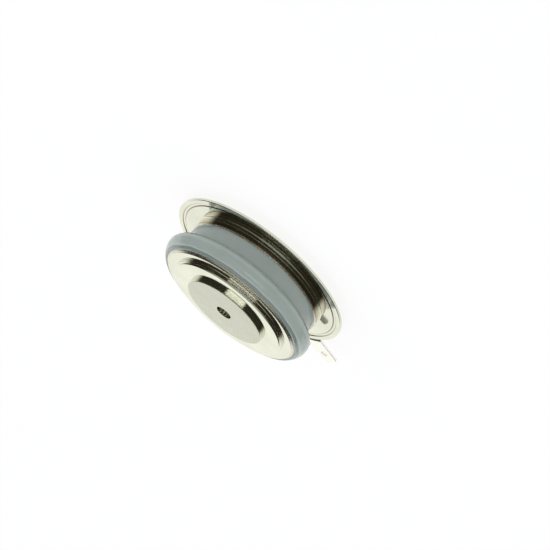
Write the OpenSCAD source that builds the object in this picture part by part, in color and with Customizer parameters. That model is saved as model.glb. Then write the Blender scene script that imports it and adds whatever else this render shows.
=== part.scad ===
// Disc thyristor: a silicon element sealed in a ceramic capsule, with a flat contact on each end.
// The axis is Z, the cathode contact face is on Z = 0 and the terminal tab points along X.

/* [Capsule] */
// Height from contact face to contact face
height = 14.2; // [13.8:0.1:16]
// Diameter of the welded rim
rim_d = 40.7; // [39:0.1:46]
// Diameter of each contact
contact_d = 18.4; // [17.5:0.1:19.5]
// Bevel round each contact face
contact_bevel = 0.2; // [0.1:0.05:0.4]
// Diameter of the centring hole in each contact face
hole_d = 3.43; // [3:0.01:4]
// Depth of each centring hole
hole_depth = 1.9; // [1.5:0.1:2.2]

/* [Ceramic] */
// Diameter over the rib
rib_d = 35.2; // [34.5:0.1:37]
// Diameter of the waist
waist_d = 30.7; // [30:0.1:31.5]
// Diameter of the bore
bore_d = 24.6; // [24.2:0.1:26]
// Radius of the rib's round section
rib_round = 3; // [2.7:0.1:3.4]
// Depth of the rib's widest line below the ceramic's top
rib_drop = 2.45; // [2.2:0.05:2.6]
// Radius of the cove between rib and waist
cove = 1.2; // [0.8:0.1:1.6]

/* [Anode flange] */
// Height of the contact face above the flange ring
anode_rise = 1.7; // [1.5:0.1:2]
// Thickness of the flange sheet
flange_t = 0.4; // [0.3:0.05:0.4]
// Diameter of the flange ring
ring_d = 31; // [30:0.1:32]
// Diameter of the flange's raised crown
crown_d = 26.8; // [26:0.1:27.5]
// Height of the crown above the flange ring
crown_rise = 0.85; // [0.7:0.05:1.1]
// Rounding of the crown's outer corner
crown_round = 0.45; // [0.45:0.05:0.6]
// Radius at the foot of the crown
crown_foot = 0.15; // [0.1:0.05:0.3]

/* [Welded rim] */
// Height of the lid's underside above the cathode contact face
lid_rise = 2.2; // [1.8:0.1:2.4]
// Thickness of the lid and of the weld ring
sheet_t = 0.3; // [0.25:0.05:0.4]
// Radius of the lid's half-round bead
lid_bead_r = 1.2; // [0.9:0.1:1.4]
// Height of the neck above the rim
neck_rise = 1.65; // [1.4:0.05:2]
// Width of the neck's ledge round the ceramic
neck_ledge = 0.1; // [0.05:0.05:0.3]
// Height of the thicker band at the foot of the neck
band_rise = 0.7; // [0.5:0.05:0.9]
// Thickness that the band adds to the neck
band_out = 0.1; // [0.05:0.01:0.15]
// Radius at the foot of the neck
neck_fillet = 0.2; // [0.1:0.05:0.4]
// Width of the land outside the groove
rim_land = 1.1; // [0.9:0.05:1.5]
// Width of the groove inside the land
groove_w = 0.65; // [0.4:0.05:0.8]
// Depth of the groove
groove_depth = 0.12; // [0.05:0.01:0.16]
// Rounding of the sheet edges
edge_round = 0.12; // [0.05:0.01:0.15]

/* [Poles] */
// Step from each contact out to its pole body
shoulder_w = 0.95; // [0.8:0.05:1.1]
// Width of the pole's edge outside the cathode plate
plate_margin = 0.8; // [0.6:0.05:1]

/* [Element] */
// Wall of the centring ring
centring_wall = 0.8; // [0.5:0.05:1.2]
// Thickness of the anode plate
anode_plate_t = 1.5; // [1.2:0.1:1.8]
// Thickness of the silver foil
foil_t = 0.1; // [0.05:0.05:0.2]
// Diameter of the silver foil
foil_d = 20; // [18:0.1:20.4]
// Thickness of the silicon wafer
wafer_t = 0.4; // [0.3:0.05:0.5]
// Width of the anode plate's edge outside the wafer
wafer_inset = 0.4; // [0.3:0.05:0.6]
// Width of the wafer's bevel
wafer_bevel = 0.4; // [0.2:0.05:0.6]
// Width of the edge seal on the wafer's face
seal_w = 0.95; // [0.7:0.05:1.2]
// Thickness of the cathode plate
cathode_plate_t = 0.7; // [0.65:0.05:1]
// Diameter of the cathode plate's window
window_d = 4; // [3:0.1:4.4]
// Height of the edge seal below the wafer
seal_drop = 0.3; // [0.2:0.05:0.35]
// Play round the inner pieces
play = 0.05; // [0.03:0.01:0.08]

/* [Gate] */
// Direction of the gate from the terminal tab
gate_angle = 13; // [8:1:40]
// Height of the gate tube's axis above the ceramic's foot
gate_rise = 1.4; // [1.1:0.05:1.6]
// Length of the gate tube outside the ceramic's waist
tube_out = 3.25; // [2.45:0.1:4.45]
// Outer diameter of the gate tube
tube_d = 1.2; // [1:0.05:1.3]
// Bore of the gate tube
tube_bore = 0.7; // [0.66:0.02:0.8]
// Length of the gate tube inside the capsule
tube_inner = 0.3; // [0.1:0.05:0.5]
// Solid length at the sealed end of the gate tube
tube_seal = 0.6; // [0.3:0.1:1]
// Diameter of the gate lead
lead_d = 0.6; // [0.4:0.02:0.62]
// Outer diameter of the lead's sleeve
sleeve_d = 1.2; // [1:0.05:1.3]
// Cover over the sleeve in the pole's slot
slot_cover = 0.3; // [0.2:0.05:0.5]
// Diameter of the pocket for the gate contact
pocket_d = 5; // [4.6:0.1:5.4]
// Depth of the pocket
pocket_depth = 3.4; // [3:0.1:3.6]
// Wall of the insulating cup
cup_wall = 0.45; // [0.3:0.05:0.6]
// Diameter of the gate contact's collar
collar_d = 3.2; // [2.8:0.1:3.4]
// Thickness of the collar
collar_t = 0.4; // [0.3:0.05:0.5]
// Diameter of the gate contact's shank
shank_d = 1.6; // [1.4:0.1:2]
// Diameter of the gate contact's tip
tip_d = 1; // [0.6:0.1:1.3]
// Height of the taper behind the tip
tip_taper = 0.4; // [0.2:0.05:0.6]
// Wire of the gate spring
spring_wire = 0.25; // [0.2:0.01:0.28]
// Mean diameter of the gate spring
spring_d = 2.6; // [2.2:0.1:2.8]
// Turns of the gate spring
spring_turns = 2.5; // [1.5:0.25:3]

/* [Terminal tab] */
// Width of the blade
tab_w = 4.75; // [4:0.05:5.5]
// Thickness of the blade
tab_t = 0.5; // [0.4:0.05:0.6]
// Length of the blade outside the rim
tab_out = 7.65; // [5.5:0.05:9]
// Clearance between the rim and the blade's offset bend
tab_gap = 0.15; // [0.1:0.05:0.3]
// Length of the blade welded under the rim
tab_weld = 2.2; // [1.6:0.1:3]
// Cut-off at the corners of the tip
tab_corner = 1; // [0.6:0.1:1.4]
// Bevel of the tip
tab_bevel = 0.15; // [0.05:0.05:0.2]
// Diameter of the latch hole
tab_hole_d = 1.4; // [1:0.1:1.8]
// Distance of the latch hole from the tip
tab_hole_in = 2.8; // [2.2:0.1:3.4]

/* [Hidden] */
$fn = 96;
coil_steps = 24;
coil_sides = 12;

rim_r = rim_d / 2;
contact_r = contact_d / 2;
rib_r = rib_d / 2;
waist_r = waist_d / 2;
bore_r = bore_d / 2;
ring_r = ring_d / 2;
crown_r = crown_d / 2;
neck_r = waist_r + neck_ledge;
band_r = neck_r + band_out;
seat_r = bore_r + sheet_t;
element_r = bore_r - centring_wall - 2 * play;
wafer_r = element_r - wafer_inset;
cathode_plate_r = wafer_r - wafer_bevel - seal_w - play;
pole_r = max(contact_r + shoulder_w, cathode_plate_r + plate_margin);

weld_z = lid_rise + sheet_t;
rim_z = weld_z + sheet_t;
seat_z = rim_z + neck_rise;
ring_z = height - anode_rise;
ceramic_z = ring_z - flange_t;
crown_z = ring_z + crown_rise;
hem_z = crown_z - flange_t;

rib_z = ceramic_z - rib_drop;
rib_out = rib_r - waist_r;
under_room = (pow(rib_z - seat_z, 2) + pow(rib_out, 2)) / (2 * rib_out) - cove;
under_r = min(rib_round, under_room);
cove_x = waist_r + cove;
cove_bite = 0.0005;
cove_z = rib_z - sqrt(pow(under_r + cove - cove_bite, 2) - pow(under_r + cove - rib_out, 2));

lid_bead_m = pole_r + lid_bead_r;

gate_z = seat_z + gate_rise;
pole_len = gate_z + sleeve_d / 2 + slot_cover;
plate_z = pole_len + cathode_plate_t;
wafer_z = plate_z + wafer_t;
foil_z = wafer_z + anode_plate_t;
anode_z = foil_z + foil_t;
foot_z = plate_z - seal_drop - 2 * play;

slot_w = sleeve_d + 2 * play;
tube_x = bore_r - tube_inner;
tube_reach = waist_r + tube_out;
cup_r = pocket_d / 2 - play;
cup_in_r = cup_r - cup_wall;
pocket_z = pole_len - pocket_depth;
spring_z = pocket_z + cup_wall;
collar_z = gate_z - lead_d / 2 - play - collar_t;
tab_x = rim_r - tab_weld;
tab_reach = rim_r + tab_out;
bend_x = rim_r + tab_gap;
bend_lag = tab_t * tan(45 / 2);

// What a rounding of radius r takes off a corner; turn 0 is the corner at upper right
module corner_waste(x, z, r, turn) {
  translate([x, z])
    rotate(turn)
      difference() {
        translate([-r, -r]) square(2 * r);
        translate([-r, -r]) circle(r);
      }
}

// Turns what is drawn along X to the gate's direction
module toward_gate() {
  rotate([0, 0, gate_angle]) translate([0, 0, gate_z]) children();
}

// A round bar along X from x to x + len
module bar(x, len, d) {
  translate([x, 0, 0]) rotate([0, 90, 0]) cylinder(d = d, h = len);
}

module ceramic_profile() {
  difference() {
    union() {
      translate([bore_r, seat_z]) square([waist_r - bore_r, ceramic_z - seat_z]);
      intersection() {
        translate([rib_r - under_r, rib_z]) circle(under_r);
        translate([bore_r, rib_z - under_r]) square([rib_r - bore_r, ceramic_z - rib_z + under_r]);
      }
      polygon([[bore_r, cove_z], [cove_x, cove_z], [rib_r - under_r, rib_z], [bore_r, rib_z]]);
    }
    translate([cove_x, cove_z]) circle(cove);
  }
}

module ceramic_housing() {
  color("LightSlateGray")
    difference() {
      rotate_extrude() ceramic_profile();
      toward_gate() bar(0, rim_r, tube_d);
    }
}

module anode_pole() {
  color("Silver")
    difference() {
      rotate_extrude()
        polygon([[0, anode_z], [pole_r, anode_z], [pole_r, hem_z], [contact_r, hem_z],
                 [contact_r, height - contact_bevel], [contact_r - contact_bevel, height],
                 [0, height]]);
      translate([0, 0, height - hole_depth]) cylinder(d = hole_d, h = 2 * hole_depth);
    }
}

module anode_flange_profile() {
  wall_r = crown_r - flange_t;
  difference() {
    union() {
      translate([wall_r, ceramic_z]) square([ring_r - wall_r, flange_t]);
      translate([wall_r, ceramic_z]) square([flange_t, crown_z - ceramic_z]);
      translate([contact_r, hem_z]) square([crown_r - contact_r, flange_t]);
      corner_waste(wall_r, hem_z, crown_round - flange_t, 0);
      difference() {
        translate([crown_r, ring_z]) square(crown_foot);
        translate([crown_r + crown_foot, ring_z + crown_foot]) circle(crown_foot);
      }
    }
    corner_waste(crown_r, crown_z, crown_round, 0);
    corner_waste(ring_r, ring_z, edge_round, 0);
  }
}

module anode_flange() {
  color("Gainsboro") rotate_extrude() anode_flange_profile();
}

module weld_ring_profile() {
  difference() {
    union() {
      translate([neck_r - sheet_t, weld_z]) square([rim_r - neck_r + sheet_t, sheet_t]);
      translate([neck_r - sheet_t, weld_z]) square([sheet_t, seat_z - weld_z]);
      translate([seat_r, seat_z - sheet_t]) square([neck_r - seat_r, sheet_t]);
      translate([neck_r, rim_z]) square([band_out, band_rise]);
      difference() {
        translate([band_r, rim_z]) square(neck_fillet);
        translate([band_r + neck_fillet, rim_z + neck_fillet]) circle(neck_fillet);
      }
    }
    translate([rim_r - rim_land - groove_w, rim_z - groove_depth])
      square([groove_w, 2 * groove_depth]);
    corner_waste(rim_r, rim_z, edge_round, 0);
    corner_waste(neck_r, seat_z, edge_round, 0);
    corner_waste(band_r, rim_z + band_rise, band_out, 0);
  }
}

module weld_ring() {
  color("Gainsboro") rotate_extrude() weld_ring_profile();
}

module cathode_lid_profile() {
  hollow_r = lid_bead_r - sheet_t;
  difference() {
    union() {
      translate([contact_r, lid_rise]) square([rim_r - contact_r, sheet_t]);
      intersection() {
        translate([lid_bead_m, lid_rise]) circle(lid_bead_r);
        translate([lid_bead_m - lid_bead_r, lid_rise - lid_bead_r])
          square([2 * lid_bead_r, lid_bead_r]);
      }
    }
    translate([lid_bead_m, lid_rise]) circle(hollow_r);
    translate([lid_bead_m - hollow_r, lid_rise]) square([2 * hollow_r, 2 * sheet_t]);
    corner_waste(rim_r, lid_rise, edge_round, -90);
  }
}

module cathode_lid() {
  color("Gainsboro") rotate_extrude() cathode_lid_profile();
}

module cathode_pole() {
  color("Silver")
    difference() {
      rotate_extrude()
        polygon([[0, 0], [contact_r - contact_bevel, 0], [contact_r, contact_bevel],
                 [contact_r, weld_z], [pole_r, weld_z], [pole_r, pole_len], [0, pole_len]]);
      translate([0, 0, -hole_depth]) cylinder(d = hole_d, h = 2 * hole_depth);
      translate([0, 0, pocket_z]) cylinder(d = pocket_d, h = 2 * pocket_depth);
      toward_gate() translate([0, -slot_w / 2, -slot_w / 2]) cube([rim_r, slot_w, pole_len]);
    }
}

// The blade seen from its edge: welded under the lid, then bent up by its own thickness
module tab_edge() {
  polygon([[tab_x, lid_rise - tab_t], [bend_x + bend_lag, lid_rise - tab_t],
           [bend_x + bend_lag + tab_t, lid_rise], [tab_reach - tab_bevel, lid_rise],
           [tab_reach, lid_rise + tab_bevel], [tab_reach, lid_rise + tab_t - tab_bevel],
           [tab_reach - tab_bevel, lid_rise + tab_t], [bend_x + tab_t, lid_rise + tab_t],
           [bend_x, lid_rise], [tab_x, lid_rise]]);
}

module tab_outline() {
  difference() {
    polygon([[tab_x, -tab_w / 2], [tab_reach - tab_corner, -tab_w / 2],
             [tab_reach, tab_corner - tab_w / 2], [tab_reach, tab_w / 2 - tab_corner],
             [tab_reach - tab_corner, tab_w / 2], [tab_x, tab_w / 2]]);
    translate([tab_reach - tab_hole_in, 0]) circle(d = tab_hole_d);
  }
}

module cathode_tab() {
  color("Silver")
    intersection() {
      translate([0, 0, lid_rise - 2 * tab_t]) linear_extrude(4 * tab_t) tab_outline();
      rotate([90, 0, 0]) linear_extrude(2 * tab_w, center = true) tab_edge();
    }
}

module gate_tube() {
  color("Silver")
    toward_gate()
      difference() {
        union() {
          bar(tube_x, tube_reach - tube_d / 2 - tube_x, tube_d);
          translate([tube_reach - tube_d / 2, 0, 0]) sphere(d = tube_d);
        }
        bar(0, tube_reach - tube_seal, tube_bore);
      }
}

module gate_lead() {
  color("LightGray")
    difference() {
      toward_gate() bar(0, tube_reach - tube_seal, lead_d);
      translate([0, 0, collar_z]) cylinder(d = shank_d, h = height);
    }
}

module lead_sleeve() {
  color("White")
    toward_gate()
      difference() {
        bar(cup_in_r, tube_x - cup_in_r, sleeve_d);
        bar(0, rim_r, lead_d);
      }
}

module gate_cup() {
  color("Ivory")
    difference() {
      translate([0, 0, pocket_z]) cylinder(r = cup_r, h = pocket_depth - play);
      translate([0, 0, spring_z]) cylinder(r = cup_in_r, h = pocket_depth);
      toward_gate() translate([0, -slot_w / 2, -slot_w / 2]) cube([rim_r, slot_w, pole_len]);
    }
}

// The wire's outline at the step s along the coil
function coil_ring(s, rise) =
  let (
    turn = 360 * s / coil_steps,
    z = spring_z + spring_wire / 2 + rise * s / (spring_turns * coil_steps)
  )
  [for (k = [0 : coil_sides - 1])
    let (
      side = 360 * k / coil_sides,
      r = (spring_d + spring_wire * cos(side)) / 2
    )
    [r * cos(turn), r * sin(turn), z + spring_wire / 2 * sin(side)]];

module gate_spring() {
  steps = spring_turns * coil_steps;
  rise = collar_z - spring_z - spring_wire;
  points = [for (s = [0 : steps]) each coil_ring(s, rise)];
  first = [for (k = [0 : coil_sides - 1]) k];
  last = [for (k = [coil_sides - 1 : -1 : 0]) steps * coil_sides + k];
  skin = [for (s = [0 : steps - 1], k = [0 : coil_sides - 1])
    let (
      a = s * coil_sides,
      b = a + coil_sides,
      n = (k + 1) % coil_sides
    )
    [a + k, b + k, b + n, a + n]];
  color("DimGray") polyhedron(points, [first, last, each skin]);
}

module gate_contact() {
  color("LightGray")
    rotate_extrude()
      polygon([[0, collar_z], [collar_d / 2, collar_z], [collar_d / 2, collar_z + collar_t],
               [shank_d / 2, collar_z + collar_t], [shank_d / 2, plate_z - tip_taper],
               [tip_d / 2, plate_z], [0, plate_z]]);
}

module cathode_plate() {
  color("DarkGray")
    difference() {
      translate([0, 0, pole_len]) cylinder(r = cathode_plate_r, h = cathode_plate_t);
      translate([0, 0, pole_len - cathode_plate_t]) cylinder(d = window_d, h = 3 * cathode_plate_t);
    }
}

module silicon_wafer() {
  color("SlateGray")
    translate([0, 0, plate_z]) cylinder(r1 = wafer_r - wafer_bevel, r2 = wafer_r, h = wafer_t);
}

module edge_seal() {
  color("FireBrick")
    rotate_extrude()
      polygon([[cathode_plate_r + play, plate_z - seal_drop], [wafer_r, plate_z - seal_drop],
               [element_r, plate_z], [element_r, wafer_z], [wafer_r, wafer_z],
               [wafer_r - wafer_bevel, plate_z], [cathode_plate_r + play, plate_z]]);
}

module anode_plate() {
  color("DarkGray") translate([0, 0, wafer_z]) cylinder(r = element_r, h = anode_plate_t);
}

module silver_foil() {
  color("WhiteSmoke") translate([0, 0, foil_z]) cylinder(d = foil_d, h = foil_t);
}

module centring_ring() {
  color("Ivory")
    rotate_extrude()
      polygon([[cathode_plate_r + play, pole_len], [bore_r - play, pole_len],
               [bore_r - play, foil_z], [element_r + play, foil_z], [element_r + play, foot_z],
               [cathode_plate_r + play, foot_z]]);
}

ceramic_housing();
anode_pole();
anode_flange();
weld_ring();
cathode_lid();
cathode_pole();
cathode_tab();
gate_tube();
gate_lead();
lead_sleeve();
gate_cup();
gate_spring();
gate_contact();
cathode_plate();
silicon_wafer();
edge_seal();
anode_plate();
silver_foil();
centring_ring();
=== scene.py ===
# %% [markdown]
# # A disc thyristor
# A disc thyristor is a flat, round power switch. A silicon wafer sits between two plated copper poles, in
# a glazed ceramic ring that is closed on both sides by bright nickel sheet. The capsule is clamped between
# two heatsinks, so its two round faces are both its contacts and its way of getting rid of heat.
#
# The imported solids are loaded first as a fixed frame, in metres, with the cathode face on the floor and the
# terminal tab along +X. Everything made here goes where that frame says.

# %% Load the frame
from math import asin, cos, degrees, pi, radians, sin, sqrt

import bmesh
import bpy
from mathutils import Matrix, Vector


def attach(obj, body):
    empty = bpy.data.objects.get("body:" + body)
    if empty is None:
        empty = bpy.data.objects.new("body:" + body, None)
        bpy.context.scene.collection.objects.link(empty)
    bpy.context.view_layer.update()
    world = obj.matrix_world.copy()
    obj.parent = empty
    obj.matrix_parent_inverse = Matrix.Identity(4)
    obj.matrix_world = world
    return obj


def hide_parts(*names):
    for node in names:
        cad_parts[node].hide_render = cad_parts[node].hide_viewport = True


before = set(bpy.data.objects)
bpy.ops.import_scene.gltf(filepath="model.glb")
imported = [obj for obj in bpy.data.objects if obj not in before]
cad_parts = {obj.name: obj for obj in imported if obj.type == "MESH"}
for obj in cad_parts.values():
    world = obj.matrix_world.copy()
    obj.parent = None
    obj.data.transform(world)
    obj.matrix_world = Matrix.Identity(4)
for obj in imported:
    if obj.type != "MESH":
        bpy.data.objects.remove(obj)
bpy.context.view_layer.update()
scene = bpy.context.scene
scene.view_settings.view_transform = "Standard"
MM = 0.001
print("solids:", len(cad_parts))

# %% [markdown]
# ## The camera
# The photograph looks at the anode side from low over the edge, and the picture is turned so that the
# capsule lies on a slant. Where the pole face's centre lies in the picture, the scale there, the distance
# and three angles fix such a camera: the side that it stands on, how high it stands, and how far it is
# rolled.
#
# A camera could be placed by eye with a Track To constraint, but then the roll and the framing would be
# found by trial. Here its three axes are worked out from the angles, so the same numbers can be checked on
# the picture.

# %% Camera from the measured view
PICTURE = 550
HEIGHT = 14.2
view_side = radians(212)
view_rise = radians(19.9)
view_roll = radians(129.8)
pixels_per_mm = 5.03
distance = 348
face_pixel = (223.7, 312.8)

level = Vector((cos(view_side), sin(view_side), 0))
steep = Vector((-sin(view_side) * sin(view_rise), cos(view_side) * sin(view_rise), cos(view_rise)))
back = level.cross(steep)
right = sin(-view_roll) * level + cos(view_roll) * steep
up = back.cross(right)
shift_x = (face_pixel[0] - PICTURE / 2) / pixels_per_mm
shift_y = (PICTURE / 2 - face_pixel[1]) / pixels_per_mm
eye = Vector((0, 0, HEIGHT)) + back * distance - right * shift_x - up * shift_y

camera = bpy.data.objects.new("camera", bpy.data.cameras.new("camera"))
camera.data.lens = camera.data.sensor_width * pixels_per_mm * distance / PICTURE
camera.data.clip_start = 10 * MM
turn = Matrix((right, up, back)).transposed().to_4x4()
camera.matrix_world = Matrix.Translation(eye * MM) @ turn
scene.collection.objects.link(camera)
scene.camera = camera
near_side = Vector((back.x, back.y, 0)).normalized()
print("lens", round(camera.data.lens, 1), "mm")
print("near side of the disc faces", [round(v, 3) for v in near_side])

# %% [markdown]
# ## Two small helpers for nodes
# Every material, and the Geometry Nodes tree further on, is a graph of nodes. One function adds a node,
# sets its properties, and fills its inputs with either a number or a link. An input goes by its name, or
# by its number where that is shorter or where several share a name: in a Map Range node, 1 and 2 are the
# old limits and 3 and 4 the new ones, and in a Mix node for colours, 6 and 7 are the two colours.
#
# Another function turns the hex colours that are read off a screen into the linear numbers that a renderer
# calculates with.

# %% Node and colour helpers
COLOURS = {"data_type": "RGBA"}
SMOOTH = {"interpolation_type": "SMOOTHSTEP"}


def add(tree, kind, settings=None, **inputs):
    node = tree.nodes.new(kind)
    for name, value in (settings or {}).items():
        setattr(node, name, value)
    for name, value in inputs.items():
        key = int(name[1:]) if name[1:].isdigit() else name.replace("_", " ")
        if isinstance(value, bpy.types.NodeSocket):
            tree.links.new(value, node.inputs[key])
        else:
            node.inputs[key].default_value = value
    return node


def colour(code, alpha=1):
    channels = [int(code[i:i + 2], 16) / 255 for i in (1, 3, 5)]
    return [c / 12.92 if c <= 0.04045 else ((c + 0.055) / 1.055) ** 2.4 for c in channels] + [alpha]


print("mid grey as linear light:", [round(c, 3) for c in colour("#808080")])

# %% [markdown]
# ## The studio
# Polished nickel has almost no colour of its own: it shows the room. Its reflections suggest a white paper
# sweep in a dark room, with one soft lamp near the camera. A flat of the capsule shows the low white sweep
# behind it. A wall that faces the camera shows the dark room, so it is brown-black, and where an edge is
# rounded it also catches the lamp.
#
# An even white world would be simpler, but metal looks like paper in it. Here the world gives reflections a
# low white band behind the disc, darkness in front and above, and a pale patch straight overhead, which
# keeps flat metal from going black when it is seen from higher up. Matt surfaces get a soft light that is
# stronger from behind, and the camera sees plain white.

# %% World
DARK_ROOM = colour("#2E2A22")
world = bpy.data.worlds.new("white_sweep_in_dark_room")
scene.world = world
world.use_nodes = True
sky = world.node_tree
sky.nodes.clear()
toward = add(sky, "ShaderNodeTexCoord").outputs["Generated"]
height = add(sky, "ShaderNodeSeparateXYZ", _0=toward).outputs["Z"]
front = add(sky, "ShaderNodeVectorMath", {"operation": "DOT_PRODUCT"},
            _0=toward, _1=near_side).outputs["Value"]
room = add(sky, "ShaderNodeMapRange", SMOOTH, _0=front, _1=-0.70, _2=-0.36, _3=0, _4=1).outputs[0]
ceiling = add(sky, "ShaderNodeMapRange", SMOOTH, _0=height, _1=0.325, _2=0.50, _3=0, _4=1).outputs[0]
overhead = add(sky, "ShaderNodeMapRange", SMOOTH, _0=height, _1=0.74, _2=0.92, _3=0, _4=1).outputs[0]
gloom = add(sky, "ShaderNodeMath", {"operation": "MAXIMUM"}, _0=room, _1=ceiling).outputs[0]
sweep = add(sky, "ShaderNodeMix", COLOURS, _0=gloom, _6=colour("#FFFFFA"), _7=DARK_ROOM).outputs[2]
sweep = add(sky, "ShaderNodeMix", COLOURS, _0=overhead, _6=sweep, _7=colour("#B4B4A9")).outputs[2]
fill = add(sky, "ShaderNodeMapRange", _0=front, _1=-0.9, _2=0.9, _3=1.05, _4=0.6).outputs[0]
seen = add(sky, "ShaderNodeBackground", Color=colour("#FFFFFF"), Strength=1).outputs[0]
even = add(sky, "ShaderNodeBackground", Color=colour("#FCFDFF"), Strength=fill).outputs[0]
shown = add(sky, "ShaderNodeBackground", Color=sweep, Strength=1.12).outputs[0]
ray = add(sky, "ShaderNodeLightPath").outputs
lit = add(sky, "ShaderNodeMixShader", _0=ray["Is Glossy Ray"], _1=even, _2=shown).outputs[0]
lit = add(sky, "ShaderNodeMixShader", _0=ray["Is Camera Ray"], _1=lit, _2=seen).outputs[0]
add(sky, "ShaderNodeOutputWorld", Surface=lit)
print("world: low white sweep behind, dark room above and in front, pale patch overhead")

# %% [markdown]
# ### The floor
# The paper has to be white and still show where the disc stands. To the camera, and in reflections, most of
# its light is its own glow and only the rest is lit, so a part of the shadow stays. A lamp from below would
# do the same but would also light the disc. To matt surfaces it is plain pale paper.

# %% Floor
def sheet_mesh(name, points, faces):
    mesh = bpy.data.meshes.new(name)
    mesh.from_pydata([[v * MM for v in p] for p in points], [], faces)
    thing = bpy.data.objects.new(name, mesh)
    scene.collection.objects.link(thing)
    return thing


def blank_material(name):
    material = bpy.data.materials.new(name)
    material.use_nodes = True
    material.node_tree.nodes.clear()
    return material, material.node_tree


FLOOR_Z, FAR = -0.02, 20000
corners = [(-FAR, -FAR), (FAR, -FAR), (FAR, FAR), (-FAR, FAR)]
floor = sheet_mesh("floor", [(x, y, FLOOR_Z) for x, y in corners], [(0, 1, 2, 3)])
white_paper, tree = blank_material("white_paper")
plain_paper = add(tree, "ShaderNodeBsdfDiffuse", Color=colour("#F4F4F4")).outputs[0]
dim = add(tree, "ShaderNodeBsdfDiffuse", Color=colour("#7A7A7A")).outputs[0]
glow = add(tree, "ShaderNodeEmission", Color=colour("#FFFFFF"), Strength=0.84).outputs[0]
glowing_paper = add(tree, "ShaderNodeAddShader", _0=dim, _1=glow).outputs[0]
ray = add(tree, "ShaderNodeLightPath").outputs
looked_at = ray["Is Camera Ray"]
for kind in ("Is Glossy Ray", "Is Transmission Ray"):
    looked_at = add(tree, "ShaderNodeMath", {"operation": "MAXIMUM"}, _0=looked_at, _1=ray[kind]).outputs[0]
paper = add(tree, "ShaderNodeMixShader", _0=looked_at, _1=plain_paper, _2=glowing_paper).outputs[0]
add(tree, "ShaderNodeOutputMaterial", Surface=paper)
floor.data.materials.append(white_paper)
print("floor:", white_paper.name, "at", FLOOR_Z, "mm")

# %% [markdown]
# ### The dark table
# It seems that the paper ended a little way in front of the disc, because low edges mirror something dark
# there. Only reflections need that table, so it is a part of a flat ring round the near side that no other
# kind of ray meets.

# %% Dark table
TABLE_Z, TABLE_START, TABLE_END = -0.01, 55, 900
TABLE_HALF, TABLE_STEPS = 112, 56
table_points = []
table_faces = []
for step in range(TABLE_STEPS + 1):
    angle = radians(-TABLE_HALF + 2 * TABLE_HALF * step / TABLE_STEPS)
    spoke = Matrix.Rotation(angle, 3, "Z") @ near_side
    table_points += [spoke * TABLE_START, spoke * TABLE_END]
    if step:
        table_faces.append((2 * step - 2, 2 * step - 1, 2 * step + 1, 2 * step))
table = sheet_mesh("dark_table", [(p.x, p.y, TABLE_Z) for p in table_points], table_faces)
table_top, tree = blank_material("dark_table_top")
darkness = add(tree, "ShaderNodeEmission", Color=DARK_ROOM, Strength=1).outputs[0]
add(tree, "ShaderNodeOutputMaterial", Surface=darkness)
table.data.materials.append(table_top)
table.visible_camera = False
table.visible_diffuse = False
table.visible_shadow = False
table.visible_transmission = False
print("dark table from", TABLE_START, "mm out, over", 2 * TABLE_HALF, "degrees")

# %% [markdown]
# ### The soft lamp
# One long, low lamp stands close in front of the disc, just under the camera's line of sight. It draws the
# light line along the rounded edges. A lamp at the camera would do that too, but it would also show in the
# neck below them. A close one lies in a different direction for each. Its energy follows its size, so that
# its brightness stays when the size is changed.

# %% Soft lamp
LAMP_RISE, LAMP_REACH = radians(18.4), 84
LAMP_WIDE, LAMP_TALL, LAMP_STRENGTH = 84, 8, 1.9
lamp = bpy.data.lights.new("lamp_before_camera", "AREA")
lamp.shape = "ELLIPSE"
lamp.size = LAMP_WIDE * MM
lamp.size_y = LAMP_TALL * MM
lamp.energy = LAMP_STRENGTH * pi * lamp.size * lamp.size_y
lamp_stand = bpy.data.objects.new("lamp_before_camera", lamp)
lamp_side = near_side * cos(LAMP_RISE) + Vector((0, 0, sin(LAMP_RISE)))
lamp_stand.location = Vector((0, 0, HEIGHT * MM)) + lamp_side * LAMP_REACH * MM
lamp_stand.rotation_euler = lamp_side.to_track_quat("Z", "Y").to_euler()
scene.collection.objects.link(lamp_stand)

# %% [markdown]
# ## Finishes
# ### Bright nickel on formed sheet
# The sheets that close the capsule are formed in a press and plated with bright nickel. Plating levels the
# surface, so it is a mirror, warm rather than blue, with faint rings that the tool left and a little haze
# that varies from place to place. The rings follow the way out from the axis and down the walls, so
# one-dimensional noise is read by the radius less the height.
#
# Two marks go on the sheet's colour. The two corners of the weld groove are darkened, which is painted
# shade, and the heat of brazing left a straw tint next to the ceramic. Both could be painted on an image.
# Here they are bands round a radius and round a height, so they stay with the shapes further on, which take
# the same sizes.

# %% Nickel sheet
def finish(name):
    material, tree = blank_material(name)
    place = add(tree, "ShaderNodeTexCoord").outputs["Object"]
    return material, tree, place


def radius_of(tree, place):
    flat = add(tree, "ShaderNodeVectorMath", {"operation": "MULTIPLY"}, _0=place, _1=(1, 1, 0)).outputs[0]
    return add(tree, "ShaderNodeVectorMath", {"operation": "LENGTH"}, _0=flat).outputs["Value"]


def away_from(tree, value, mark):
    off = add(tree, "ShaderNodeMath", {"operation": "SUBTRACT"}, _0=value, _1=mark * MM).outputs[0]
    return add(tree, "ShaderNodeMath", {"operation": "ABSOLUTE"}, _0=off).outputs[0]


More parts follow.
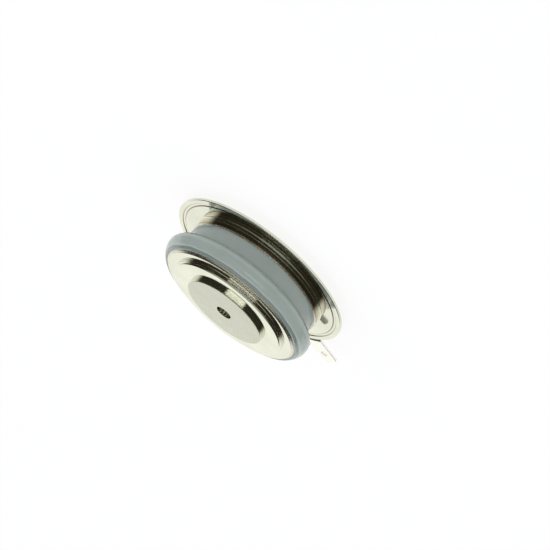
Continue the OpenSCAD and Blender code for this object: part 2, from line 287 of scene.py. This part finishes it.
GROOVE_IN, GROOVE_OUT, SEAT_Z = 18.6, 19.25, 4.45
nickel_sheet, tree, place = finish("bright_nickel_sheet")
rise = add(tree, "ShaderNodeSeparateXYZ", _0=place).outputs["Z"]
radius = radius_of(tree, place)
path_out = add(tree, "ShaderNodeMath", {"operation": "SUBTRACT"}, _0=radius, _1=rise).outputs[0]
ring_gap = 0.35 * MM  # the tool's rings are about 0.1 mm apart; they are drawn coarser so that they show
rings = add(tree, "ShaderNodeTexNoise", {"noise_dimensions": "1D"},
            W=path_out, Scale=1 / ring_gap, Detail=3).outputs[0]
haze = add(tree, "ShaderNodeTexNoise", Vector=place, Scale=1 / (5 * MM), Detail=4).outputs[0]
tint = add(tree, "ShaderNodeMix", COLOURS, _0=haze, _6=colour("#CBCBBB"), _7=colour("#EBECDD")).outputs[2]
both = add(tree, "ShaderNodeMath", {"operation": "MULTIPLY"}, _0=rings, _1=haze).outputs[0]
mist = add(tree, "ShaderNodeMapRange", _0=both, _1=0.1, _2=0.45, _3=0.05, _4=0.13).outputs[0]
# painted shade: the two corners of the weld groove are darkened
for edge, shade_tone, depth in ((GROOVE_IN, "#5E5646", 0.8), (GROOVE_OUT, "#8F8059", 0.6)):
    from_edge = away_from(tree, radius, edge)
    groove_shade = add(tree, "ShaderNodeMapRange",
                _0=from_edge, _1=0.05 * MM, _2=0.16 * MM, _3=depth, _4=0).outputs[0]
    tint = add(tree, "ShaderNodeMix", COLOURS, _0=groove_shade, _6=tint, _7=colour(shade_tone)).outputs[2]
from_braze = away_from(tree, rise, SEAT_Z)
straw = add(tree, "ShaderNodeMapRange", _0=from_braze, _1=0.3 * MM, _2=1.1 * MM, _3=0.75, _4=0).outputs[0]
tint = add(tree, "ShaderNodeMix", COLOURS, _0=straw, _6=tint, _7=colour("#A8926B")).outputs[2]
dent = add(tree, "ShaderNodeBump", Strength=0.15, Distance=0.004 * MM, Height=rings).outputs[0]
metal = add(tree, "ShaderNodeBsdfPrincipled",
            Base_Color=tint, Metallic=1, Roughness=mist, Normal=dent).outputs[0]
add(tree, "ShaderNodeOutputMaterial", Surface=metal)
print("finish:", nickel_sheet.name)

# %% [markdown]
# ### Lapped nickel on the copper pole
# The contact face is lapped flat, which leaves a fine, even grain: pale grey, with a soft sheen in place of
# a mirror. The wall of the pole was only turned, so it is brighter. Two materials could be given to two sets
# of faces. Here the distance from the middle of the capsule's height tells face from wall, which keeps both
# in one material.

# %% Lapped pole
FACE_DEPTH, FACE_SKIN = 0.1, 0.02
NOISE_LOW, NOISE_HIGH = 0.3, 0.7  # most values of a noise texture lie between these
lapped_pole, tree, place = finish("lapped_nickel_on_copper")
rise = add(tree, "ShaderNodeSeparateXYZ", _0=place).outputs["Z"]
from_middle = away_from(tree, rise, HEIGHT / 2)
on_face = add(tree, "ShaderNodeMapRange", _0=from_middle, _1=(HEIGHT / 2 - FACE_DEPTH) * MM,
              _2=(HEIGHT / 2 - FACE_SKIN) * MM, _3=0, _4=1).outputs[0]
grain_size = 0.14 * MM  # lapping grit leaves pits of about 0.02 mm; drawn coarser so that they show
grain = add(tree, "ShaderNodeTexNoise",
            Vector=place, Scale=1 / grain_size, Detail=5, Roughness=0.7).outputs[0]
cloud = add(tree, "ShaderNodeTexNoise", Vector=place, Scale=1 / (3 * MM), Detail=4).outputs[0]
tint = add(tree, "ShaderNodeMix", COLOURS, _0=cloud, _6=colour("#D4D6C6"), _7=colour("#E3E4D4")).outputs[2]
matt = add(tree, "ShaderNodeMapRange", _0=grain, _1=NOISE_LOW, _2=NOISE_HIGH, _3=0.22, _4=0.31).outputs[0]
sheen = add(tree, "ShaderNodeMix", _0=on_face, _2=0.14, _3=matt).outputs[0]
pits = add(tree, "ShaderNodeMath", {"operation": "MULTIPLY"}, _0=grain, _1=on_face).outputs[0]
dent = add(tree, "ShaderNodeBump", Strength=0.22, Distance=0.01 * MM, Height=pits).outputs[0]
metal = add(tree, "ShaderNodeBsdfPrincipled",
            Base_Color=tint, Metallic=1, Roughness=sheen, Normal=dent).outputs[0]
add(tree, "ShaderNodeOutputMaterial", Surface=metal)
print("finish:", lapped_pole.name)

# %% [markdown]
# ### Glazed alumina
# The ring is sintered alumina under a blue-grey glaze. The glaze is glass: its gloss is sharp but not quite
# flat, because it flowed while it was hot, so reflections waver over a few millimetres. Small specks and
# slightly thicker, darker places show in the colour. Light goes a little way into alumina and comes out
# beside where it went in, which softens the shading, so the shader's subsurface inputs are used.
#
# Near the top, where the glaze stops short to leave room for the braze, the colour carries painted light: a
# light line along a slightly wandering edge is a painted highlight, and a darker margin above it is painted
# shade on the top, which faces the dark room.

# %% Glazed ceramic
TOP_Z = 12.1
GLAZE_EDGE = TOP_Z - 0.4
MARGIN_START, MARGIN_END = GLAZE_EDGE + 0.02, GLAZE_EDGE + 0.16
glazed_alumina, tree, place = finish("blue_grey_glazed_alumina")
rise = add(tree, "ShaderNodeSeparateXYZ", _0=place).outputs["Z"]
pool = add(tree, "ShaderNodeTexNoise", Vector=place, Scale=1 / (4 * MM), Detail=3).outputs[0]
tint = add(tree, "ShaderNodeMix", COLOURS, _0=pool, _6=colour("#A8B4AE"), _7=colour("#B4BEB8")).outputs[2]
dots = add(tree, "ShaderNodeTexVoronoi", Vector=place, Scale=1 / (0.8 * MM)).outputs["Distance"]
speck = add(tree, "ShaderNodeMapRange", _0=dots, _1=0.05, _2=0.16, _3=0.55, _4=0).outputs[0]
tint = add(tree, "ShaderNodeMix", COLOURS, _0=speck, _6=tint, _7=colour("#98A5A1")).outputs[2]
wander = add(tree, "ShaderNodeMath", {"operation": "MULTIPLY_ADD"},
             _0=pool, _1=0.3 * MM, _2=rise).outputs[0]
# painted shade: a darker band above the glaze edge, on the top of the ring
painted_shade_band = add(tree, "ShaderNodeMapRange",
             _0=wander, _1=MARGIN_START * MM, _2=MARGIN_END * MM, _3=0, _4=1).outputs[0]
tint = add(tree, "ShaderNodeMix", COLOURS, _0=painted_shade_band, _6=tint, _7=colour("#889590")).outputs[2]
# painted highlight: a light line along the glaze edge
from_glaze = away_from(tree, wander, GLAZE_EDGE)
painted_highlight_line = add(tree, "ShaderNodeMapRange", _0=from_glaze, _1=0.05 * MM, _2=0.17 * MM, _3=0.9, _4=0).outputs[0]
tint = add(tree, "ShaderNodeMix", COLOURS, _0=painted_highlight_line, _6=tint, _7=colour("#BCC6BF")).outputs[2]
flow = add(tree, "ShaderNodeTexNoise", Vector=place, Scale=1 / (2.2 * MM), Detail=2).outputs[0]
gloss = add(tree, "ShaderNodeMapRange", _0=pool, _1=NOISE_LOW, _2=NOISE_HIGH, _3=0.08, _4=0.18).outputs[0]
wave = add(tree, "ShaderNodeBump", Strength=0.3, Distance=0.05 * MM, Height=flow).outputs[0]
glass = add(tree, "ShaderNodeBsdfPrincipled", Base_Color=tint, Roughness=gloss, IOR=1.52, Normal=wave,
            Subsurface_Weight=0.8, Subsurface_Radius=(1, 1, 1), Subsurface_Scale=1.5 * MM).outputs[0]
add(tree, "ShaderNodeOutputMaterial", Surface=glass)
print("finish:", glazed_alumina.name)

# %% [markdown]
# ### Braze, blade and tube
# Silver braze joins metal to ceramic and shows as a thin bright line, faintly rippled. The terminal blade is
# brass strip, rolled along its length and tinned, so it is bright and a little streaky: a Mapping node draws
# the noise out along the blade. The gate tube is drawn nickel that was pinched shut. It gets painted light:
# a pale colour and far less metal than the rest, so that it and its reflection in the rim do not look dark.

# %% Braze
silver_braze, tree, place = finish("silver_braze")
ripple = add(tree, "ShaderNodeTexNoise", Vector=place, Scale=1 / (0.3 * MM), Detail=3).outputs[0]
tint = add(tree, "ShaderNodeMix", COLOURS, _0=ripple, _6=colour("#D6D2C4"), _7=colour("#EDEADF")).outputs[2]
soft = add(tree, "ShaderNodeMapRange", _0=ripple, _1=NOISE_LOW, _2=NOISE_HIGH, _3=0.18, _4=0.34).outputs[0]
dent = add(tree, "ShaderNodeBump", Strength=0.02, Distance=0.01 * MM, Height=ripple).outputs[0]
metal = add(tree, "ShaderNodeBsdfPrincipled",
            Base_Color=tint, Metallic=1, Roughness=soft, Normal=dent).outputs[0]
add(tree, "ShaderNodeOutputMaterial", Surface=metal)
print("finish:", silver_braze.name)

# %% Tinned blade
tinned_blade, tree, place = finish("tinned_brass_strip")
along = add(tree, "ShaderNodeMapping", Vector=place, Scale=(0.08, 1, 1)).outputs[0]
streak = add(tree, "ShaderNodeTexNoise", Vector=along, Scale=1 / (0.3 * MM), Detail=4).outputs[0]
patch = add(tree, "ShaderNodeTexNoise", Vector=place, Scale=1 / (2 * MM), Detail=3).outputs[0]
tint = add(tree, "ShaderNodeMix", COLOURS, _0=patch, _6=colour("#F1EFE6"), _7=colour("#FBFAF4")).outputs[2]
soft = add(tree, "ShaderNodeMapRange", _0=streak, _1=NOISE_LOW, _2=NOISE_HIGH, _3=0.06, _4=0.12).outputs[0]
dent = add(tree, "ShaderNodeBump", Strength=0.3, Distance=0.01 * MM, Height=streak).outputs[0]
metal = add(tree, "ShaderNodeBsdfPrincipled",
            Base_Color=tint, Metallic=0.85, Roughness=soft, Normal=dent).outputs[0]
add(tree, "ShaderNodeOutputMaterial", Surface=metal)
print("finish:", tinned_blade.name)

# %% Nickel tube
nickel_tube, tree, place = finish("drawn_nickel_tube")
tube_mottle = add(tree, "ShaderNodeTexNoise", Vector=place, Scale=1 / (0.6 * MM), Detail=4).outputs[0]
# painted light: a pale, nearly matt colour keeps the tube and its reflection from looking dark
tint = add(tree, "ShaderNodeMix", COLOURS, _0=tube_mottle, _6=colour("#E2DED4"), _7=colour("#F4F1E8")).outputs[2]
soft = add(tree, "ShaderNodeMapRange", _0=tube_mottle, _1=NOISE_LOW, _2=NOISE_HIGH, _3=0.22, _4=0.42).outputs[0]
metal = add(tree, "ShaderNodeBsdfPrincipled", Base_Color=tint, Metallic=0.2, Roughness=soft).outputs[0]
add(tree, "ShaderNodeOutputMaterial", Surface=metal)
print("finish:", nickel_tube.name)

# %% [markdown]
# ## Turned pieces
# Nearly every piece of the capsule is a surface of revolution, so its shape follows one rule: a profile, in
# radius and height, goes round the axis. The Screw modifier or bmesh's spin could do it. A Geometry Nodes
# tree is used because the profile stays a plain list of points and the number of steps stays an input.
#
# The profile is a mesh of edges in the XZ plane. The tree turns it into a curve, moves it by the radius of a
# small circle, sweeps it along that circle, merges the points that meet on the axis, and gives the result
# its material.

# %% Geometry Nodes tree for turning
turning = bpy.data.node_groups.new("turned_from_profile", "GeometryNodeTree")
turning.interface.new_socket("Profile", in_out="INPUT", socket_type="NodeSocketGeometry")
steps_socket = turning.interface.new_socket("Steps round", in_out="INPUT", socket_type="NodeSocketInt")
finish_socket = turning.interface.new_socket("Finish", in_out="INPUT", socket_type="NodeSocketMaterial")
turning.interface.new_socket("Turned", in_out="OUTPUT", socket_type="NodeSocketGeometry")
hub = 1 * MM
merge_gap = 0.0005 * MM
given = add(turning, "NodeGroupInput").outputs
line = add(turning, "GeometryNodeMeshToCurve", Mesh=given["Profile"]).outputs[0]
line = add(turning, "GeometryNodeTransform", Geometry=line, Translation=(-hub, 0, 0),
           Rotation=(pi / 2, 0, 0)).outputs[0]
circle = add(turning, "GeometryNodeCurvePrimitiveCircle",
             Resolution=given["Steps round"], Radius=hub).outputs[0]
swept = add(turning, "GeometryNodeCurveToMesh", Curve=circle, Profile_Curve=line).outputs[0]
closed = add(turning, "GeometryNodeMergeByDistance", Geometry=swept, Distance=merge_gap).outputs[0]
smooth = add(turning, "GeometryNodeSetShadeSmooth", Geometry=closed).outputs[0]
plain = add(turning, "GeometryNodeRealizeInstances", Geometry=smooth).outputs[0]
done = add(turning, "GeometryNodeSetMaterial", Geometry=plain, Material=given["Finish"]).outputs[0]
add(turning, "NodeGroupOutput", Turned=done)
print("tree inputs:", steps_socket.identifier, finish_socket.identifier)

# %% [markdown]
# ### Profiles
# A profile is a list of points in millimetres, with an arc wherever an edge of the real piece is rounded.
# Smooth shading would bend the light over the long straight runs between the arcs, so each gets a point
# close to either end, which keeps it flat. Splitting the normals there would leave a hard line.

# %% Profile helpers
ARC_STEP, LONG_RUN, HOLD = 7, 0.15, 0.02


def arc(x, z, r, start, end):
    count = max(3, round(abs(end - start) / ARC_STEP))
    angles = [radians(start + (end - start) * i / count) for i in range(count + 1)]
    return [(x + r * cos(a), z + r * sin(a)) for a in angles]


def hold_flats(points, closed):
    held = []
    pairs = list(zip(points, points[1:] + points[:1] if closed else points[1:]))
    for (x0, z0), (x1, z1) in pairs:
        held.append((x0, z0))
        run = sqrt((x1 - x0) ** 2 + (z1 - z0) ** 2)
        if run > LONG_RUN:
            for share in (HOLD / run, 1 - HOLD / run):
                held.append((x0 + (x1 - x0) * share, z0 + (z1 - z0) * share))
    return held if closed else held + points[-1:]


print("points in a quarter round:", len(arc(0, 0, 1, 0, 90)))

# %% [markdown]
# ### Turn and dress
# Turning hands the profile to the tree, takes the result as a plain mesh, and makes its faces point
# outwards.

# %% Turning and dressing helpers
def outward(mesh, flat_angle=0):
    work = bmesh.new()
    work.from_mesh(mesh)
    bmesh.ops.remove_doubles(work, verts=work.verts, dist=merge_gap)
    if flat_angle:
        bmesh.ops.dissolve_limit(work, angle_limit=flat_angle, verts=work.verts, edges=work.edges)
    bmesh.ops.recalc_face_normals(work, faces=work.faces)
    work.to_mesh(mesh)
    work.free()


def turned(name, points, material, closed=True, steps=288):
    points = hold_flats(points, closed)
    count = len(points)
    profile = bpy.data.meshes.new(name + "_profile")
    edges = [(i, (i + 1) % count) for i in range(count if closed else count - 1)]
    profile.from_pydata([(x * MM, 0, z * MM) for x, z in points], edges, [])
    piece = bpy.data.objects.new(name, profile)
    scene.collection.objects.link(piece)
    nodes = piece.modifiers.new("turning", "NODES")
    nodes.node_group = turning
    nodes[steps_socket.identifier] = steps
    nodes[finish_socket.identifier] = material
    result = bpy.data.meshes.new_from_object(piece.evaluated_get(bpy.context.evaluated_depsgraph_get()))
    piece.modifiers.clear()
    piece.data = result
    bpy.data.meshes.remove(profile)
    result.name = name
    outward(result)
    heights = [v.co.z / MM for v in result.vertices]
    print(name, "faces", len(result.polygons), "height", round(min(heights), 2), "to", round(max(heights), 2))
    return piece


def dress(piece, slot, *nodes):
    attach(piece, "root")
    if nodes:
        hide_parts(*nodes)


print("helpers: turned, dress")

# %% [markdown]
# ### The ceramic ring
# Its outside is a waist with a round rib, which makes the path over the surface longer, so that a high
# voltage can't creep along it. The rib is a wide round above and a tighter one below. The waist runs into
# it by a small cove, and the two arcs meet on the line between their centres.

# %% Ceramic ring
BORE, WAIST, RIB, RIB_Z = 12.3, 15.35, 17.6, 9.65
ROUND, UNDER, COVE, LIP, HEEL = 3.0, 1.4, 0.5, 0.15, 0.15
round_x = RIB - ROUND
under_x = RIB - UNDER
cove_x = WAIST + COVE
cove_z = RIB_Z - sqrt((UNDER + COVE) ** 2 - (cove_x - under_x) ** 2)
lean = degrees(Vector((under_x - cove_x, RIB_Z - cove_z)).angle_signed(Vector((1, 0))))
crest = degrees(asin((TOP_Z - LIP - RIB_Z) / (ROUND - LIP)))
lip_x = round_x + (ROUND - LIP) * cos(radians(crest))
ceramic_ring = turned("ceramic_ring", [
    (BORE, SEAT_Z),
    *arc(WAIST - HEEL, SEAT_Z + HEEL, HEEL, -90, 0),
    *arc(cove_x, cove_z, COVE, 180, lean),
    *arc(under_x, RIB_Z, UNDER, lean - 180, 0)[1:],
    *arc(round_x, RIB_Z, ROUND, 0, crest)[1:],
    *arc(lip_x, TOP_Z - LIP, LIP, crest, 90)[1:],
    (BORE, TOP_Z),
], glazed_alumina)
dress(ceramic_ring, "glazed_alumina", "ceramic_housing")

# %% [markdown]
# ### The anode flange
# A disc of thin sheet, drawn up into one flat crown like that of a hat. The pole is brazed into its middle,
# and the thin crown lets it move by a few hundredths of a millimetre when the capsule is clamped. The flat
# ring outside the crown is brazed onto the ceramic.

# %% Anode flange
CONTACT, CROWN, RING, SHEET, SHEET_EDGE = 9.2, 13.4, 15.5, 0.4, 0.12
RING_Z, CROWN_Z, CROWN_ROUND, CROWN_FOOT = 12.5, 13.35, 0.45, 0.15
HEM_Z = CROWN_Z - SHEET
anode_sheet = turned("anode_sheet", [
    (CONTACT, CROWN_Z),
    *arc(CROWN - CROWN_ROUND, CROWN_Z - CROWN_ROUND, CROWN_ROUND, 90, 0),
    *arc(CROWN + CROWN_FOOT, RING_Z + CROWN_FOOT, CROWN_FOOT, 180, 270),
    *arc(RING - SHEET_EDGE, RING_Z - SHEET_EDGE, SHEET_EDGE, 90, 0),
    (RING, TOP_Z),
    (CROWN - SHEET, TOP_Z),
    *arc(CROWN - CROWN_ROUND, CROWN_Z - CROWN_ROUND, CROWN_ROUND - SHEET, 0, 90),
    (CONTACT, HEM_Z),
], nickel_sheet)
dress(anode_sheet, "nickel_sheet", "anode_flange")

# %% [markdown]
# ### The weld ring and the lid
# The ring under the ceramic steps down to a wide rim, and the lid of the cathode side lies against it. The
# two rims are pressed together so hard that they weld cold, and the tool leaves a shallow groove round the
# rim. The lid has a round bead, which lets it give a little when the capsule is clamped.

# %% Weld ring
RIM, RIM_Z, WELD_Z, THIN = 20.35, 2.8, 2.5, 0.3
NECK, BAND, BAND_Z, NECK_FOOT, SEAT = 15.45, 15.55, 3.5, 0.2, 12.6
GROOVE_Z, SOFT = 2.68, 0.05
BAND_EDGE = BAND - NECK
weld_ring = turned("weld_ring_sheet", [
    (SEAT, SEAT_Z),
    *arc(NECK - SHEET_EDGE, SEAT_Z - SHEET_EDGE, SHEET_EDGE, 90, 0),
    (NECK, BAND_Z),
    *arc(NECK, BAND_Z - BAND_EDGE, BAND_EDGE, 90, 0),
    *arc(BAND + NECK_FOOT, RIM_Z + NECK_FOOT, NECK_FOOT, 180, 270),
    *arc(GROOVE_IN - SOFT, RIM_Z - SOFT, SOFT, 90, 0),
    *arc(GROOVE_IN + SOFT, GROOVE_Z + SOFT, SOFT, 180, 270)[1:],
    *arc(GROOVE_OUT - SOFT, GROOVE_Z + SOFT, SOFT, 270, 360),
    *arc(GROOVE_OUT + SOFT, RIM_Z - SOFT, SOFT, 180, 90)[1:],
    *arc(RIM - SHEET_EDGE, RIM_Z - SHEET_EDGE, SHEET_EDGE, 90, 0),
    (RIM, WELD_Z),
    (NECK - THIN, WELD_Z),
    (NECK - THIN, SEAT_Z - THIN),
    (SEAT, SEAT_Z - THIN),
], nickel_sheet)
dress(weld_ring, "nickel_sheet", "weld_ring")

# %% Cathode lid
LID_Z, LID_BEAD, LID_BEAD_X = 2.2, 1.2, 11.6
cathode_sheet = turned("cathode_sheet", [
    (CONTACT, WELD_Z),
    (LID_BEAD_X - LID_BEAD + THIN, WELD_Z),
    *arc(LID_BEAD_X, LID_Z, LID_BEAD - THIN, 180, 360),
    (LID_BEAD_X + LID_BEAD - THIN, WELD_Z),
    (RIM, WELD_Z),
    *arc(RIM - SHEET_EDGE, LID_Z + SHEET_EDGE, SHEET_EDGE, 0, -90),
    *arc(LID_BEAD_X, LID_Z, LID_BEAD, 0, -180),
    (CONTACT, LID_Z),
], nickel_sheet)
dress(cathode_sheet, "nickel_sheet", "cathode_lid")

# %% [markdown]
# ### The anode pole
# A copper block with a raised contact face and a blind hole in its middle, which takes the centring pin of
# the heatsink. Its edges are eased, so that they catch a thin line of light.

# %% Anode pole
POLE, HOLE, HOLE_Z, FOIL_Z = 10.4, 1.715, 12.3, 9.45
EASE, EDGE = 0.2, 0.06
anode_block = turned("anode_block", [
    (0, FOIL_Z),
    (POLE, FOIL_Z),
    (POLE, HEM_Z),
    (CONTACT, HEM_Z),
    *arc(CONTACT - EASE, HEIGHT - EASE, EASE, 0, 90),
    *arc(HOLE + EDGE, HEIGHT - EDGE, EDGE, 90, 180),
    (HOLE, HOLE_Z),
    (0, HOLE_Z),
], lapped_pole, closed=False)
dress(anode_block, "plated_copper", "anode_pole")

# %% [markdown]
# ### Braze lines
# Where sheet meets ceramic the ceramic was metallised first, a little wider than the sheet, and the braze
# drew itself along that band. It shows as a second thin line beside the edge of the sheet.

# %% Braze lines
FILLET, FILLET_END, SUNK = 0.3, 262, 0.02
FILM, FILM_END, FILM_TAPER = 0.002, 0.45, 0.03
SEAT_FILLET, SEAT_SUNK = 0.2, 0.05
anode_braze = turned("anode_braze", [
    (RING, TOP_Z),
    *arc(RING + FILLET, TOP_Z + FILLET, FILLET, 180, FILLET_END),
    (RING + FILM_END - FILM_TAPER, TOP_Z + FILM),
    (RING + FILM_END, TOP_Z - SUNK),
    (RING, TOP_Z - SUNK),
], silver_braze)
dress(anode_braze, "nickel_sheet")
seat_braze = turned("seat_braze", [
    (WAIST - SEAT_SUNK, SEAT_Z),
    *arc(WAIST + SEAT_FILLET, SEAT_Z + SEAT_FILLET, SEAT_FILLET, 270, 180),
    (WAIST - SEAT_SUNK, SEAT_Z + SEAT_FILLET),
], silver_braze)
dress(seat_braze, "nickel_sheet")

# %% [markdown]
# ### The terminal blade and the gate tube
# The blade is spot-welded under the rim. Its solid has the right outline, so a copy of that mesh is merged
# and its stamped edges are rounded with a Bevel modifier. The tube is turned upright from its own profile,
# and then laid along the direction in which it leaves the ceramic.

# %% Terminal blade
def merged_copy(node, name, material):
    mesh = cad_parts[node].data.copy()
    mesh.name = name
    mesh.materials.clear()
    mesh.materials.append(material)
    if "custom_normal" in mesh.attributes:
        mesh.attributes.remove(mesh.attributes["custom_normal"])
    outward(mesh, flat_angle=radians(1))
    piece = bpy.data.objects.new(name, mesh)
    scene.collection.objects.link(piece)
    return piece


blade = merged_copy("cathode_tab", "terminal_blade", tinned_blade)
rounding = blade.modifiers.new("stamped_edges", "BEVEL")
rounding.width = 0.06 * MM
rounding.segments = 2
rounding.limit_method = "ANGLE"
rounding.angle_limit = radians(40)
blade.data.shade_smooth()
blade.data.set_sharp_from_angle(angle=radians(35))
dress(blade, "tinned_blade", "cathode_tab")
print("blade faces", len(blade.data.polygons))

# %% Gate tube
TUBE, TUBE_BORE, PINCH = 0.6, 0.35, 0.6
TUBE_IN, TUBE_OUT, TUBE_Z, TUBE_SIDE = 12.0, 18.6, 5.85, 13
tube_length = TUBE_OUT - TUBE_IN
gate_pipe = turned("gate_pipe", [
    (0, tube_length - PINCH),
    (TUBE_BORE, tube_length - PINCH),
    (TUBE_BORE, 0),
    (TUBE, 0),
    *arc(0, tube_length - TUBE, TUBE, 0, 90),
], nickel_tube, closed=False, steps=64)
lay = Matrix.Rotation(radians(TUBE_SIDE), 4, "Z") @ Matrix.Translation((TUBE_IN * MM, 0, TUBE_Z * MM))
gate_pipe.data.transform(lay @ Matrix.Rotation(pi / 2, 4, "Y"))
dress(gate_pipe, "nickel_tube", "gate_tube")

# %% [markdown]
# ## The inner pieces and the cathode pole
# Of the other pieces only the cathode pole shows outside, with its face under the capsule. Their solids are
# already right, so each just gets the finish of what it is made of: a base colour that varies a little over
# a millimetre or so, and its own gloss. Sintered molybdenum is a dull grey, polished silicon a dark mirror,
# fine silver pale, spring steel a darker grey, fluoropolymer a waxy white, and the silicone rubber of the
# seal a matt red-brown. One table and one loop do for all of them.

# %% Finishes of the inner pieces
GLOSS_SPREAD = 0.2
inner_looks = {
    "plated_copper_pole": (("cathode_pole",), "#D5D7CB", "#E4E5DA", 1, 0.45, 0.2),
    "sintered_molybdenum": (("anode_plate", "cathode_plate"), "#8B8C8E", "#A3A4A6", 1, 0.5, 0.4),
    "polished_silicon": (("silicon_wafer",), "#4A5058", "#5C626B", 1, 0.12, 1.5),
    "fine_silver": (("silver_foil", "gate_lead", "gate_contact"), "#DEDCD6", "#F2F0EA", 1, 0.28, 0.5),
    "spring_steel": (("gate_spring",), "#7C7A75", "#9A9791", 1, 0.3, 0.3),
    "white_fluoropolymer": (("centring_ring", "gate_cup", "lead_sleeve"), "#DAD9D2", "#EBEAE4", 0, 0.55, 1.0),
    "cast_silicone_rubber": (("edge_seal",), "#6B3B2E", "#7D4838", 0, 0.6, 0.8),
}
for name, (nodes, dark, pale, metallic, rough, grain_mm) in inner_looks.items():
    material, tree, place = finish(name)
    grain = add(tree, "ShaderNodeTexNoise", Vector=place, Scale=1 / (grain_mm * MM), Detail=4).outputs[0]
    tint = add(tree, "ShaderNodeMix", COLOURS, _0=grain, _6=colour(dark), _7=colour(pale)).outputs[2]
    soft = add(tree, "ShaderNodeMapRange", _0=grain, _1=NOISE_LOW, _2=NOISE_HIGH,
               _3=rough * (1 - GLOSS_SPREAD), _4=rough * (1 + GLOSS_SPREAD)).outputs[0]
    dent = add(tree, "ShaderNodeBump", Strength=0.2, Distance=0.01 * MM, Height=grain).outputs[0]
    stuff = add(tree, "ShaderNodeBsdfPrincipled",
                Base_Color=tint, Metallic=metallic, Roughness=soft, Normal=dent).outputs[0]
    add(tree, "ShaderNodeOutputMaterial", Surface=stuff)
    for node in nodes:
        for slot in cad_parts[node].material_slots:
            slot.material = material
print("inner finishes:", len(inner_looks))
